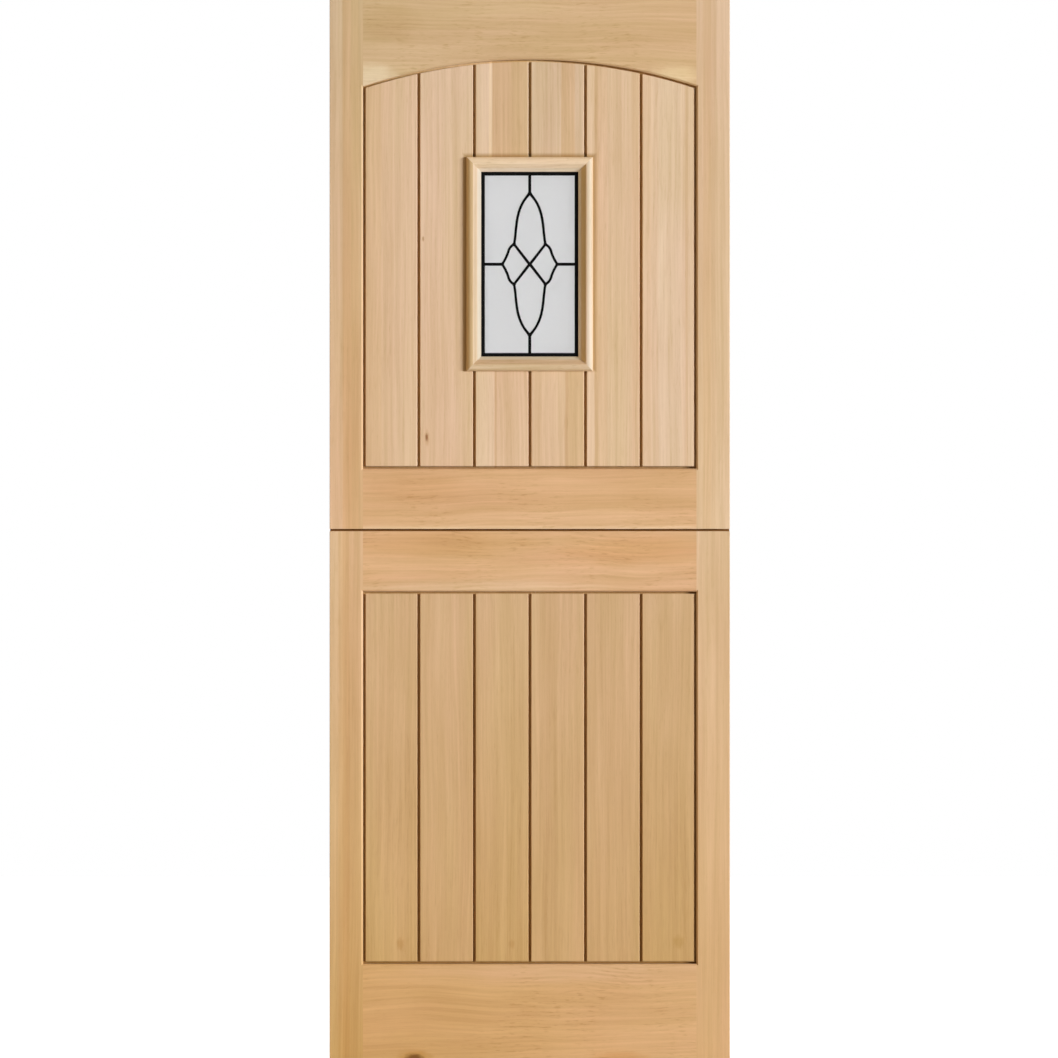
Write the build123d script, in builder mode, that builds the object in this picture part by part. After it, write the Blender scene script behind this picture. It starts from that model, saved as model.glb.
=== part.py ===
"""A stable door: two oak leaves, one above the other, hung on the front of a plain frame.

Sizes are in millimetres, with +X to the right, +Y away from the viewer and +Z up. The origin is the
middle of the sill's underside. A depth is a distance from the origin towards the viewer (along -Y).
"""
import os
from collections import namedtuple
from math import radians, tan

from build123d import *

os.makedirs("parts", exist_ok=True)

# Leaves
door_width = 762.0
upper_leaf_height = 1016.0
lower_leaf_height = 1012.0
leaf_thickness = 44.0
meeting_gap = 4.0
floor_gap = 6.0
stile_width = 63.5
top_rail_height = 122.0
arch_rise = 51.0
meeting_rail_height = 115.0
bottom_rail_height = 188.0
opening_arris = 3.0
leaf_arris = 0.8

# Boards of the two panels
board_count = 6
board_thickness = 34.0
board_gap = 5.0
board_arris = 1.2
panel_gap = 4.4
tongue_thickness = 12.0
tongue_length = 8.0
panel_tongue = 10.0
tongue_side_clearance = 0.2
tongue_end_clearance = 0.1

# Dowels of the leaf joints
dowel_radius = 6.0
dowel_edge_cover = 14.0
dowel_clearance = 0.1
dowel_end_clearance = 1.0
dowel_height_shares = (0.27, 0.73)

# Glass unit, in place of the middle boards
glazed_boards = 2
sight_height = 352.0
glass_cover = 15.8
glass_setback = 9.0
glass_edge_clearance = 2.0
pane_thickness = 4.0
spacer_width = 7.0
gasket_thickness = 2.0
gasket_edge_inset = 2.1
gasket_clearance = 1.5
setting_block_length = 30.0
setting_block_share = 0.25

# Lead came on the outer pane, its points as shares of half the sight width and half the sight height
came_border = 7.0
came_width = 4.9
came_lap = 2.0
came_clearance = 0.2
solder_radius = 3.4
oval_tip_shares = (0, 0.770)
oval_side_shares = (0.283, 0.416)
knot_shares = (0.322, 0.216)
shoulder_shares = (0.389, 0.190)
waist_shares = (0.444, 0.131)
flare_shares = (0.493, 0.068)
side_tip_shares = (0.567, 0)
stem_end_shares = (0, 1)
arm_end_shares = (1, 0)

# Raised moulding on the front of the light, and the bead behind it
moulding_lap = 12.2
moulding_rise = 12.0
moulding_edge = 2.5
moulding_crest_inset = 13.0
moulding_sight_edge = 3.0
moulding_crest_radius = 3.0
moulding_clearance = 0.4
bead_rise = 4.0
bead_depth = 3.0
bead_slope_width = 6.0
bead_slope_height = 4.0

# Frame
frame_gap = 3.0
frame_depth = 70.0
jamb_width = 44.0
head_height = 44.0
sill_height = 44.0
frame_arris = 1.5
tenon_length = 22.0
tenon_thickness = 20.0
tenon_shoulder = 16.0
tenon_clearance = 0.2
fixing_radius = 5.0
fixing_head_radius = 10.0
fixing_head_depth = 12.0
fixing_height_shares = (0.07, 0.36, 0.64, 0.93)

# Seals
seal_width = 4.0
seal_depth = 4.0
seal_lip_width = 3.0
seal_edge_inset = 5.0
seal_flap_gap = 5.0
seal_clearance = 0.1
seal_running_gap = 0.3
meeting_seal_end_gap = 0.5

# Hinges
hinge_height = 100.0
hinge_margin = 20.0
knuckle_count = 5
knuckle_radius = 5.5
knuckle_gap = 0.3
knuckle_clearance = 0.5
pin_radius = 2.75
pin_running_clearance = 0.05
pin_head_radius = 4.2
pin_head_height = 2.0
flap_thickness = 2.5
flap_clearance = 0.25
hinge_end_clearance = 1.0

# Hinge screws, their places as shares of the flap's width and of the hinge's height
screw_place_shares = ((0.42, -0.38), (0.75, -0.15), (0.75, 0.15), (0.42, 0.38))
screw_length = 25.0
screw_radius = 2.0
screw_head_radius = 4.0
screw_head_angle = 90.0
screw_slot_width = 0.9
screw_slot_depth = 0.8
screw_clearance = 0.1
screw_tip_clearance = 0.5

# One overrun takes every cut past the face that it leaves by
overrun = 1.0

# Heights
lower_bottom = floor_gap
lower_top = lower_bottom + lower_leaf_height
upper_bottom = lower_top + meeting_gap
upper_top = upper_bottom + upper_leaf_height

# Depths
frame_face = frame_depth / 2
leaf_back = frame_face + frame_gap
leaf_middle = leaf_back + leaf_thickness / 2
leaf_front = leaf_back + leaf_thickness
boards_front = leaf_middle + board_thickness / 2
boards_back = leaf_middle - board_thickness / 2
glass_front = boards_front - glass_setback
glass_back = boards_back + bead_depth + gasket_thickness
came_front = glass_front + gasket_thickness - came_clearance

# Widths
leaf_edge = door_width / 2
panel_edge = leaf_edge - stile_width
board_pitch = 2 * panel_edge / board_count
pin_inset = knuckle_radius + knuckle_clearance
leaf_overhang = 2 * pin_inset
flap_width = pin_inset + jamb_width - seal_edge_inset - seal_width - seal_flap_gap
dowel_length = 2 * (stile_width - dowel_edge_cover - dowel_end_clearance)
frame_edge = leaf_edge - leaf_overhang
frame_inside = frame_edge - jamb_width
frame_top = upper_top - leaf_overhang
pin_place = (pin_inset - leaf_edge, -(frame_face + leaf_back) / 2)

# Panel openings of the leaves
Opening = namedtuple("Opening", "bottom top arch_radius")
arch_radius = (panel_edge**2 + arch_rise**2) / (2 * arch_rise)
upper_opening = Opening(upper_bottom + meeting_rail_height, upper_top - top_rail_height, arch_radius)
lower_opening = Opening(lower_bottom + bottom_rail_height, lower_top - meeting_rail_height, None)

# The light stands in the middle of the upper opening's height, in place of its glazed boards
first_glazed = (board_count - glazed_boards) // 2 + 1
light_place = -panel_edge + (first_glazed - 1 + glazed_boards / 2) * board_pitch
light_height = (upper_opening.bottom + upper_opening.top) / 2
hole_half_width = (glazed_boards * board_pitch + board_gap) / 2
sight_half_width = hole_half_width - glass_cover
sight_half_height = sight_height / 2
hole_half_height = sight_half_height + glass_cover

# Hinge heights, each just past the joint of a rail
hinge_reach = hinge_margin + hinge_height / 2
hinge_heights = {
    "lower_leaf_bottom": lower_opening.bottom + hinge_reach,
    "lower_leaf_top": lower_opening.top - hinge_reach,
    "upper_leaf_bottom": upper_opening.bottom + hinge_reach,
    "upper_leaf_top": upper_opening.top - arch_rise - hinge_reach,
}


def save(part, name):
    """Label a finished piece and write it under its own name."""
    part.label = name
    export_step(part, f"parts/{name}.step")


def front_plane(depth):
    """A plane that faces the viewer, with x to the right and y up."""
    return Plane.XZ.offset(depth)


def block_between(left, right, bottom, top, back, front):
    """A plain block between two widths, two heights and two depths."""
    with BuildPart() as block:
        with BuildSketch(front_plane(back)):
            with Locations(((left + right) / 2, (bottom + top) / 2)):
                Rectangle(right - left, top - bottom)
        extrude(amount=front - back)
    return block.part


def slab(half_width, bottom, top, back, front):
    """A plain block across the middle of the door."""
    return block_between(-half_width, half_width, bottom, top, back, front)


def light_block(half_width, half_height, back, front):
    """A plain block about the middle of the light."""
    low, high = light_height - half_height, light_height + half_height
    return block_between(light_place - half_width, light_place + half_width, low, high, back, front)


def ring(centre, half_width, half_height, band, back, front):
    """A flat rectangular ring whose inner edge has the given half sizes."""
    with BuildPart() as frame:
        with BuildSketch(front_plane(back)):
            with Locations(centre):
                Rectangle(2 * (half_width + band), 2 * (half_height + band))
                Rectangle(2 * half_width, 2 * half_height, mode=Mode.SUBTRACT)
        extrude(amount=front - back)
    return frame.part


def opening_outline(opening, grow, depth):
    """A panel opening's outline, grown all round, with its arch where it has one."""
    with BuildSketch(front_plane(depth)) as outline:
        with Locations((0, (opening.bottom + opening.top) / 2)):
            Rectangle(2 * (panel_edge + grow), opening.top - opening.bottom + 2 * grow)
        if opening.arch_radius:
            with Locations((0, opening.top - opening.arch_radius)):
                Circle(opening.arch_radius + grow, mode=Mode.INTERSECT)
    return outline.sketch


def panel_envelope(opening):
    """The whole panel: its visible field, and the tongue that runs into the grooves around it."""
    field = opening_outline(opening, -panel_gap, leaf_middle)
    tongue = opening_outline(opening, panel_tongue, leaf_middle)
    with BuildPart() as envelope:
        extrude(field, amount=board_thickness / 2, both=True)
        extrude(tongue, amount=tongue_thickness / 2, both=True)
    return envelope.part


def opening_cut(opening):
    """What an opening takes off the stiles and rails: the panel's groove and the arrises."""
    groove = opening_outline(opening, panel_tongue + tongue_end_clearance, leaf_middle)
    arris_foot = opening_outline(opening, 0, leaf_front - opening_arris)
    arris_top = opening_outline(opening, opening_arris + overrun, leaf_front + overrun)
    with BuildPart() as cut:
        extrude(groove, amount=tongue_thickness / 2 + tongue_side_clearance, both=True)
        loft([arris_foot.face(), arris_top.face()])
        mirror(about=front_plane(leaf_middle))
    return cut.part


def board(index, envelope, bottom, top, name, cut=None):
    """One tongued and grooved board of a panel, its ends shaped by the panel's outline."""
    first = index == 1
    last = index == board_count
    middle = -leaf_middle
    left = -panel_edge + (index - 1) * board_pitch + (panel_gap if first else board_gap / 2)
    right = -panel_edge + index * board_pitch - (panel_gap if last else board_gap / 2)
    half = board_thickness / 2
    tongue = tongue_thickness / 2
    groove = tongue + tongue_side_clearance
    groove_end = left + tongue_length + tongue_end_clearance
    tongue_tip = panel_edge + panel_tongue if last else right + board_gap + tongue_length
    left_side = [(left, middle - groove), (groove_end, middle - groove)]
    left_side += [(groove_end, middle + groove), (left, middle + groove)]
    if first:
        rim = -panel_edge - panel_tongue
        left_side = [(left, middle - tongue), (rim, middle - tongue)]
        left_side += [(rim, middle + tongue), (left, middle + tongue)]
    section = left_side + [
        (left, middle + half - board_arris),
        (left + board_arris, middle + half),
        (right - board_arris, middle + half),
        (right, middle + half - board_arris),
        (right, middle + tongue),
        (tongue_tip, middle + tongue),
        (tongue_tip, middle - tongue),
        (right, middle - tongue),
        (right, middle - half + board_arris),
        (right - board_arris, middle - half),
        (left + board_arris, middle - half),
        (left, middle - half + board_arris),
    ]
    with BuildPart() as plank:
        with BuildSketch(Plane.XY.offset(bottom)):
            with BuildLine():
                Polyline(*section, close=True)
            make_face()
        extrude(amount=top - bottom)
        add(envelope, mode=Mode.INTERSECT)
        if cut is not None:
            add(cut, mode=Mode.SUBTRACT)
    save(plank.part, name)


def dowel_row(rails, radius, length):
    """Round rods across the joints of both stiles, at the given rails' heights."""
    places = []
    for rail_bottom, rail_top in rails:
        for share in dowel_height_shares:
            for edge in (-panel_edge, panel_edge):
                places.append((edge, -leaf_middle, rail_bottom + share * (rail_top - rail_bottom)))
    with BuildPart() as rods:
        with Locations(*places):
            Cylinder(radius, length, rotation=(0, 90, 0))
    return rods.part


def screw_places(height):
    """The screws of one flap, as widths and heights."""
    return [
        (pin_place[0] + across * flap_width, height + up * hinge_height)
        for across, up in screw_place_shares
    ]


def screw_group(heights, plane, name):
    """Slotted countersunk screws, their heads flush in the flaps on the given plane."""
    flush = (Align.CENTER, Align.CENTER, Align.MAX)
    head_height = (screw_head_radius - screw_radius) / tan(radians(screw_head_angle / 2))
    slot_length = 2 * screw_head_radius + overrun
    with BuildPart() as screw:
        Cylinder(screw_radius, screw_length, align=flush)
        Cone(screw_radius, screw_head_radius, head_height, align=flush)
        Box(slot_length, screw_slot_width, screw_slot_depth, align=flush, mode=Mode.SUBTRACT)
    with BuildPart(plane) as screws:
        for height in heights:
            for across, up in screw_places(height):
                with Locations(plane.to_local_coords(Vector(across, plane.origin.Y, up))):
                    add(screw.part)
    save(screws.part, name)


def pilot_holes(heights, plane):
    """Holes in the wood for the screws of the given hinges."""
    radius = screw_radius + screw_clearance
    depth = screw_length + screw_tip_clearance
    with BuildPart(plane) as holes:
        for height in heights:
            for across, up in screw_places(height):
                with Locations(plane.to_local_coords(Vector(across, plane.origin.Y, up))):
                    Cylinder(radius, depth, align=(Align.CENTER, Align.CENTER, Align.MAX))
    return holes.part


def hinge_housing(heights, on_leaf):
    """What the hinges take off a stile's back or the jamb's face, with room for the knuckles."""
    face = leaf_back if on_leaf else frame_face
    flap_back = face if on_leaf else face - flap_thickness
    flap_front = face + flap_thickness if on_leaf else face
    flap_end = pin_place[0] + flap_width + flap_clearance
    half_flap = hinge_height / 2 + flap_clearance
    half_notch = hinge_height / 2 + pin_head_height + hinge_end_clearance
    knuckle_reach = -pin_place[1] + pin_inset
    edge = -leaf_edge - overrun
    notch_side = pin_place[0] + pin_inset
    blocks = []
    for height in heights:
        blocks.append(
            block_between(edge, flap_end, height - half_flap, height + half_flap, flap_back, flap_front)
        )
        if on_leaf:
            low, high = height - half_notch, height + half_notch
            blocks.append(block_between(edge, notch_side, low, high, face - overrun, knuckle_reach))
    with BuildPart() as housing:
        add(blocks)
        add(pilot_holes(heights, leaf_screw_plane if on_leaf else frame_screw_plane))
    return housing.part


def hinge_plate(height, on_leaf, name):
    """A butt hinge's plate: a flap let in flush, and every second knuckle on the pin's line."""
    knuckle = (hinge_height - (knuckle_count - 1) * knuckle_gap) / knuckle_count
    foot = height - hinge_height / 2
    middles = [foot + knuckle / 2 + i * (knuckle + knuckle_gap) for i in range(knuckle_count)]
    own = middles[1::2] if on_leaf else middles[0::2]
    other = middles[0::2] if on_leaf else middles[1::2]
    flap_back = leaf_back if on_leaf else frame_face - flap_thickness
    plane = leaf_screw_plane if on_leaf else frame_screw_plane
    hole_radius = pin_radius + (pin_running_clearance if on_leaf else 0)
    with BuildPart(plane) as plate:
        with BuildSketch(front_plane(flap_back)):
            with Locations((pin_place[0] + flap_width / 2, height)):
                Rectangle(flap_width, hinge_height)
        extrude(amount=flap_thickness)
        for across, up in screw_places(height):
            with Locations(plane.to_local_coords(Vector(across, plane.origin.Y, up))):
                CounterSinkHole(
                    screw_radius + screw_clearance,
                    screw_head_radius + screw_clearance,
                    counter_sink_angle=screw_head_angle,
                )
    with BuildPart() as whole:
        add(plate.part)
        with Locations(*[(*pin_place, middle) for middle in other]):
            Cylinder(pin_inset, knuckle + 2 * knuckle_gap, mode=Mode.SUBTRACT)
        with Locations(*[(*pin_place, middle) for middle in own]):
            Cylinder(knuckle_radius, knuckle)
        with Locations((*pin_place, height)):
            Cylinder(hole_radius, hinge_height + overrun, mode=Mode.SUBTRACT)
    save(whole.part, name)


def stile(side, bottom, top, cuts, name):
    """An upright of a leaf, on the left (-1) or the right (1)."""
    left, right = sorted((side * leaf_edge, side * panel_edge))
    blank = block_between(left, right, bottom, top, leaf_back, leaf_front)
    with BuildPart() as upright:
        add(blank)
        face_edges = upright.faces().filter_by(Axis.Y).edges()
        inner_edges = face_edges.filter_by(Axis.Z).sort_by(Axis.X, reverse=side > 0)[-2:]
        chamfer(face_edges - inner_edges, leaf_arris)
        for cut in cuts:
            add(cut, mode=Mode.SUBTRACT)
    save(upright.part, name)


def rail(bottom, top, outer_edge, cuts, name, arch=None):
    """A rail between the stiles of a leaf, with an arched lower edge where the opening has one.

    The leaf's own edge is the rail's lower (0) or upper (-1) one.
    """
    blank = slab(panel_edge, bottom, top, leaf_back, leaf_front)
    with BuildPart() as bar:
        add(blank)
        chamfer(bar.edges().filter_by(Axis.X).group_by(Axis.Z)[outer_edge], leaf_arris)
        if arch:
            with BuildSketch(front_plane(leaf_back)):
                with Locations((0, arch.top - arch.arch_radius)):
                    Circle(arch.arch_radius)
            extrude(amount=leaf_thickness, mode=Mode.SUBTRACT)
        for cut in cuts:
            add(cut, mode=Mode.SUBTRACT)
    save(bar.part, name)


def mitred_length(outward, section, name):
    """A length of moulding on one side of the light, cut at 45 degrees where it meets the next."""
    outward = Vector(outward)
    towards_viewer = Vector(0, -1, 0)
    run = outward.cross(towards_viewer)
    centre = Vector(light_place, -boards_front, light_height)
    sideways = abs(outward.X) > abs(outward.Z)
    sight_out = sight_half_width if sideways else sight_half_height
    sight_run = sight_half_height if sideways else sight_half_width
    foot = centre + outward * sight_out
    with BuildPart() as length:
        with BuildSketch(Plane(foot, x_dir=outward, z_dir=run)):
            add(section)
        extrude(amount=sight_run + glass_cover + moulding_lap, both=True)
        for end in (1, -1):
            corner = foot + run * (end * sight_run)
            split(bisect_by=Plane(corner, z_dir=run * end - outward), keep=Keep.BOTTOM)
    save(length.part, name)


def came_point(shares, mirror_x=1, mirror_z=1):
    """A point of the lead's drawing, as a width and a height."""
    return (
        light_place + mirror_x * shares[0] * sight_half_width,
        light_height + mirror_z * shares[1] * sight_half_height,
    )


def came_quarter(mirror_x, mirror_z):
    """A quarter of the lead's drawing: half an oval's side, a lozenge's two sides and the stems."""
    oval_tip, oval_side, knot, shoulder, waist, flare, side_tip, stem_end, arm_end = [
        came_point(shares, mirror_x, mirror_z)
        for shares in (
            oval_tip_shares,
            oval_side_shares,
            knot_shares,
            shoulder_shares,
            waist_shares,
            flare_shares,
            side_tip_shares,
            stem_end_shares,
            arm_end_shares,
        )
    ]
    with BuildLine() as lines:
        ThreePointArc(oval_tip, oval_side, knot)
        ThreePointArc(knot, shoulder, waist)
        ThreePointArc(waist, flare, side_tip)
        Line(knot, came_point((0, 0)))
        Line(oval_tip, stem_end)
        Line(side_tip, arm_end)
    return lines.edges()


leaf_screw_plane = Plane((0, -leaf_back, 0), x_dir=(-1, 0, 0), z_dir=(0, 1, 0))
frame_screw_plane = front_plane(frame_face)
leaf_hinges = {
    leaf: [height for name, height in hinge_heights.items() if name.startswith(leaf)]
    for leaf in ("lower_leaf", "upper_leaf")
}

# Frame: two jambs with the head and the sill tenoned between them
seal_middle_inset = jamb_width - seal_edge_inset - seal_width / 2
seal_half_width = frame_edge - seal_middle_inset
seal_low = sill_height - seal_edge_inset - seal_width / 2
seal_high = frame_top - head_height + seal_edge_inset + seal_width / 2
seal_height = (seal_low + seal_high) / 2
seal_half_height = (seal_high - seal_low) / 2


def frame_seal_ring(band, back, front):
    """A ring of the given band about the line of the frame's seal."""
    half_width = seal_half_width - band / 2
    half_height = seal_half_height - band / 2
    return ring((0, seal_height), half_width, half_height, band, back, front)


seal_groove = frame_seal_ring(seal_width, frame_face - seal_depth, frame_face + overrun)
tenon_heights = {
    "head": (frame_top - head_height, frame_top - tenon_shoulder),
    "sill": (tenon_shoulder, sill_height),
}


def tenon(piece, length, clearance):
    """The two tenons of the head or the sill in one bar, or with a clearance their mortises."""
    low, high = tenon_heights[piece]
    half = tenon_thickness / 2 + clearance
    return slab(frame_inside + length + clearance, low - clearance, high + clearance, -half, half)


def jamb(side, name, housing=None):
    """An upright of the frame, with counterbored fixing holes through its width."""
    left, right = sorted((side * frame_edge, side * frame_inside))
    cuts = [seal_groove, tenon("head", tenon_length, tenon_clearance)]
    cuts.append(tenon("sill", tenon_length, tenon_clearance))
    if housing is not None:
        cuts.append(housing)
    inner_face = Plane((side * frame_inside, 0, 0), x_dir=(0, 1, 0), z_dir=(-side, 0, 0))
    with BuildPart(inner_face) as upright:
        with BuildSketch(front_plane(-frame_face)):
            with Locations(((left + right) / 2, frame_top / 2)):
                Rectangle(right - left, frame_top)
        extrude(amount=frame_depth)
        chamfer(upright.edges().filter_by(Axis.Z), frame_arris)
        for share in fixing_height_shares:
            place = Vector(side * frame_inside, 0, share * frame_top)
            with Locations(inner_face.to_local_coords(place)):
                CounterBoreHole(fixing_radius, fixing_head_radius, fixing_head_depth)
    with BuildPart() as whole:
        add(upright.part)
        for cut in cuts:
            add(cut, mode=Mode.SUBTRACT)
    save(whole.part, name)


jamb(-1, "hinge_jamb", hinge_housing(hinge_heights.values(), False))
jamb(1, "closing_jamb")

for piece, low, high in (("head", frame_top - head_height, frame_top), ("sill", 0, sill_height)):
    cross_blank = slab(frame_inside, low, high, -frame_face, frame_face)
    cross_tenons = tenon(piece, tenon_length, 0)
    with BuildPart() as cross_member:
        add(cross_blank)
        chamfer(cross_member.edges().filter_by(Axis.X), frame_arris)
        add(cross_tenons)
        add(seal_groove, mode=Mode.SUBTRACT)
    save(cross_member.part, f"frame_{piece}")

seal_base = frame_seal_ring(seal_width - 2 * seal_clearance, frame_face - seal_depth, frame_face)
seal_lip = frame_seal_ring(seal_lip_width, frame_face, leaf_back - seal_running_gap)
with BuildPart() as frame_seal:
    add(seal_base)
    add(seal_lip)
save(frame_seal.part, "frame_seal")

# Hinges
for hinge, height in hinge_heights.items():
    hinge_plate(height, False, f"{hinge}_hinge_frame_plate")
    hinge_plate(height, True, f"{hinge}_hinge_leaf_plate")

with BuildPart() as hinge_pins:
    with Locations(*[(*pin_place, height - hinge_height / 2) for height in hinge_heights.values()]):
        Cylinder(pin_radius, hinge_height, align=(Align.CENTER, Align.CENTER, Align.MIN))
    with Locations(*[(*pin_place, height + hinge_height / 2) for height in hinge_heights.values()]):
        Cylinder(pin_head_radius, pin_head_height, align=(Align.CENTER, Align.CENTER, Align.MIN))
save(hinge_pins.part, "hinge_pins")

screw_group(hinge_heights.values(), frame_screw_plane, "frame_hinge_screws")
for leaf, heights in leaf_hinges.items():
    screw_group(heights, leaf_screw_plane, f"{leaf}_hinge_screws")

# Upper leaf: stiles, arched top rail and meeting rail
upper_rails = [
    (upper_bottom, upper_opening.bottom),
    (upper_opening.top - arch_rise, upper_top),
]
dowel_hole = (dowel_radius + dowel_clearance, dowel_length + 2 * dowel_end_clearance)
upper_cuts = [opening_cut(upper_opening), dowel_row(upper_rails, *dowel_hole)]
upper_housing = hinge_housing(leaf_hinges["upper_leaf"], True)
stile(-1, upper_bottom, upper_top, upper_cuts + [upper_housing], "upper_hinge_stile")
stile(1, upper_bottom, upper_top, upper_cuts, "upper_closing_stile")
rail(*upper_rails[0], 0, upper_cuts, "upper_meeting_rail")
rail(*upper_rails[1], -1, upper_cuts, "arched_top_rail", upper_opening)
save(dowel_row(upper_rails, dowel_radius, dowel_length), "upper_leaf_dowels")

# Upper leaf: boards, with the middle ones cut short above and below the light
upper_reach = (upper_opening.bottom - panel_tongue, upper_opening.top + panel_tongue)
hole_low, hole_high = light_height - hole_half_height, light_height + hole_half_height
light_hole = light_block(hole_half_width, hole_half_height, leaf_back, leaf_front)
upper_envelope = panel_envelope(upper_opening)
for index in range(1, board_count + 1):
    if first_glazed <= index < first_glazed + glazed_boards:
        board(index, upper_envelope, hole_high, upper_reach[1], f"upper_board_{index}_above_light")
        board(index, upper_envelope, upper_reach[0], hole_low, f"upper_board_{index}_below_light")
    else:
        board(index, upper_envelope, *upper_reach, f"upper_board_{index}", light_hole)

# Upper leaf: the glass unit on its setting blocks, between gaskets
light_centre = (light_place, light_height)
glass_half_width = hole_half_width - glass_edge_clearance
glass_half_height = hole_half_height - glass_edge_clearance
outer_pane_back = glass_front - pane_thickness
inner_pane_front = glass_back + pane_thickness
save(light_block(glass_half_width, glass_half_height, outer_pane_back, glass_front), "outer_pane")
save(light_block(glass_half_width, glass_half_height, glass_back, inner_pane_front), "inner_pane")

spacer_half_width = glass_half_width - spacer_width
spacer_half_height = glass_half_height - spacer_width
spacer_sizes = (spacer_half_width, spacer_half_height, spacer_width)
save(ring(light_centre, *spacer_sizes, inner_pane_front, outer_pane_back), "pane_spacer")

gasket_inset = came_lap + gasket_clearance
gasket_width = glass_cover - glass_edge_clearance - gasket_edge_inset - gasket_inset
gasket_sizes = (sight_half_width + gasket_inset, sight_half_height + gasket_inset, gasket_width)
front_gasket = ring(light_centre, *gasket_sizes, glass_front, glass_front + gasket_thickness)
back_gasket = ring(light_centre, *gasket_sizes, glass_back - gasket_thickness, glass_back)
with BuildPart() as gaskets:
    add([front_gasket, back_gasket])
save(gaskets.part, "glazing_gaskets")

block_reach = 2 * glass_half_width * setting_block_share
block_places = [(light_place + side * block_reach, hole_low) for side in (-1, 1)]
with BuildPart() as setting_blocks:
    with BuildSketch(front_plane(glass_back)):
        with Locations(*block_places):
            Rectangle(setting_block_length, glass_edge_clearance, align=(Align.CENTER, Align.MIN))
    extrude(amount=glass_front - glass_back)
save(setting_blocks.part, "setting_blocks")

# Upper leaf: lead came, a border with a pointed oval and two side lozenges
quarters = [(mirror_x, mirror_z) for mirror_x in (1, -1) for mirror_z in (1, -1)]
came_edges = [edge for quarter in quarters for edge in came_quarter(*quarter)]
solder_places = [
    came_point(shares, *quarter)
    for quarter in quarters
    for shares in (oval_tip_shares, knot_shares, side_tip_shares)
]
waist_places = [came_point(waist_shares, *quarter) for quarter in quarters]
border_half_width = sight_half_width - came_border
border_half_height = sight_half_height - came_border
with BuildPart() as lead_came:
    with BuildSketch(front_plane(glass_front)):
        with Locations(light_centre):
            Rectangle(2 * (sight_half_width + came_lap), 2 * (sight_half_height + came_lap))
            Rectangle(2 * border_half_width, 2 * border_half_height, mode=Mode.SUBTRACT)
        for edge in came_edges:
            trace(edge, came_width)
        with Locations(came_point((0, 0)), *solder_places):
            Circle(solder_radius)
        with Locations(*waist_places):
            Circle(came_width / 2)
    extrude(amount=came_front - glass_front)
save(lead_came.part, "lead_came")

# Upper leaf: the raised moulding on the front and the beads behind the glass
moulding_leg = glass_cover - moulding_clearance
moulding_width = glass_cover + moulding_lap
moulding_foot = gasket_thickness - glass_setback
moulding_round = moulding_rise - moulding_edge
with BuildSketch() as moulding_section:
    with BuildLine():
        Polyline(
            (moulding_width, moulding_edge),
            (moulding_width, 0),
            (moulding_leg, 0),
            (moulding_leg, moulding_foot),
            (0, moulding_foot),
            (0, moulding_foot + moulding_sight_edge),
            (moulding_width - moulding_crest_inset, moulding_rise),
            (moulding_width - moulding_round, moulding_rise),
        )
        CenterArc((moulding_width - moulding_round, moulding_edge), moulding_round, 0, 90)
    make_face()
    crest_corner = moulding_section.vertices().group_by(Axis.Y)[-1].sort_by(Axis.X)[0]
    fillet(crest_corner, moulding_crest_radius)

bead_foot = board_thickness - bead_depth
bead_back = board_thickness + bead_rise
with BuildSketch() as bead_section:
    with BuildLine():
        Polyline(
            (0, -bead_foot),
            (moulding_leg, -bead_foot),
            (moulding_leg, -bead_back),
            (bead_slope_width, -bead_back),
            (0, bead_slope_height - bead_back),
            close=True,
        )
    make_face()

light_sides = {"top": (0, 0, 1), "bottom": (0, 0, -1), "left": (-1, 0, 0), "right": (1, 0, 0)}
for side, outward in light_sides.items():
    mitred_length(outward, moulding_section.sketch, f"glazing_moulding_{side}")
    mitred_length(outward, bead_section.sketch, f"glazing_bead_{side}")

# Lower leaf: stiles, rails and boards, with a seal along its top edge
lower_rails = [(lower_bottom, lower_opening.bottom), (lower_opening.top, lower_top)]
meeting_half = leaf_edge - meeting_seal_end_gap


def meeting_strip(width, bottom, top):
    """A strip along the middle of the lower leaf's top edge."""
    return slab(meeting_half, bottom, top, leaf_middle - width / 2, leaf_middle + width / 2)


meeting_groove = meeting_strip(seal_width, lower_top - seal_depth, lower_top + overrun)
lower_cuts = [
    opening_cut(lower_opening),
    dowel_row(lower_rails, *dowel_hole),
    meeting_groove,
]
lower_housing = hinge_housing(leaf_hinges["lower_leaf"], True)
stile(-1, lower_bottom, lower_top, lower_cuts + [lower_housing], "lower_hinge_stile")
stile(1, lower_bottom, lower_top, lower_cuts, "lower_closing_stile")
rail(*lower_rails[0], 0, lower_cuts, "bottom_rail")
rail(*lower_rails[1], -1, lower_cuts, "lower_meeting_rail")
save(dowel_row(lower_rails, dowel_radius, dowel_length), "lower_leaf_dowels")

lower_reach = (lower_opening.bottom - panel_tongue, lower_opening.top + panel_tongue)
lower_envelope = panel_envelope(lower_opening)
for index in range(1, board_count + 1):
    board(index, lower_envelope, *lower_reach, f"lower_board_{index}")

meeting_base = meeting_strip(seal_width - 2 * seal_clearance, lower_top - seal_depth, lower_top)
meeting_lip = meeting_strip(seal_lip_width, lower_top, upper_bottom - seal_running_gap)
with BuildPart() as meeting_seal:
    add(meeting_base)
    add(meeting_lip)
save(meeting_seal.part, "meeting_seal")
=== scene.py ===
"""Looks of an oak stable door: two boarded leaves on a frame, the upper one with a leaded light."""

import math
from collections import namedtuple

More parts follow.
